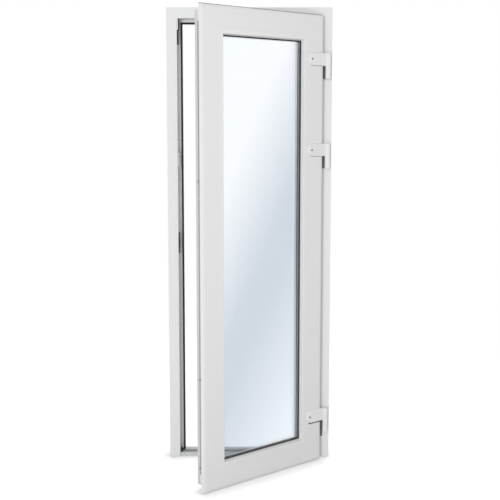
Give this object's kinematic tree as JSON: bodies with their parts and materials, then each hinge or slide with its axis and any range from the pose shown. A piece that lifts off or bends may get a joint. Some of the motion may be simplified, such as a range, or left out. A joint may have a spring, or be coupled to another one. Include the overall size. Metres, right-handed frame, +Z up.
{
  "type": "balcony door",
  "caption": "White PVC balcony door: mitred frame on a low aluminium threshold, and a full-height double-glazed leaf that swings into the room on surface flag hinges.",
  "frame": {"origin": "middle of the threshold's underside, at floor level, halfway through the frame's depth", "axes": "+X towards the hinge jamb as seen from the room, +Y outdoors, +Z up"},
  "size_m": [0.75, 0.5142, 2.09],
  "materials": {
    "white_pvc": "satin extruded PVC",
    "white_cover": "moulded white cover",
    "black_seal": "EPDM seal",
    "grey_seal": "grey seal",
    "aluminium": "anodised extrusion",
    "spacer_metal": "spacer bar",
    "dark_plastic": "thermal break strip",
    "black_plastic": "moulded block",
    "steel": "zinc-plated",
    "dark_steel": "dark coated steel",
    "glass": "clear double glazing"
  },
  "bodies": {
    "frame": {"frame_lock_jamb": "white_pvc", "frame_hinge_jamb": "white_pvc", "frame_head": "white_pvc", "frame_gasket": "black_seal", "threshold_rail": "aluminium", "threshold_tread_strip": "dark_plastic", "threshold_end_block_lock": "black_plastic", "threshold_end_block_hinge": "black_plastic", "keep_top": "white_cover", "keep_top_catch": "dark_steel", "keep_upper": "steel", "strike_plate": "dark_steel", "hinge_bottom_frame_knuckle": "white_cover", "hinge_bottom_frame_plate": "dark_steel", "hinge_bottom_pin": "steel", "hinge_middle_frame_knuckle": "white_cover", "hinge_middle_frame_plate": "dark_steel", "hinge_middle_pin": "steel", "hinge_top_frame_knuckle": "white_cover", "hinge_top_frame_plate": "dark_steel", "hinge_top_pin": "steel"},
    "leaf": {"leaf_lock_stile": "white_pvc", "glazing_bead_lock": "white_pvc", "leaf_hinge_stile": "white_pvc", "glazing_bead_hinge": "white_pvc", "leaf_top_rail": "white_pvc", "glazing_bead_top": "white_pvc", "leaf_bottom_rail": "white_pvc", "glazing_bead_bottom": "white_pvc", "glass_room_pane": "glass", "glass_outer_pane": "glass", "glass_spacer_bar": "spacer_metal", "glazing_gasket_room": "black_seal", "glazing_gasket_outer": "black_seal", "leaf_gasket": "grey_seal", "lock_faceplate": "steel", "locking_cams": "steel", "hinge_bottom_leaf_flag": "white_cover", "hinge_middle_leaf_flag": "white_cover", "hinge_top_leaf_flag": "white_cover"}
  },
  "joints": [
    {"name": "leaf_hinge", "type": "hinge", "parent": "frame", "child": "leaf", "pos_m": [0.3555, -0.065, 0], "axis": [0, 0, 1], "range_deg": [-38, 72]}
  ]
}
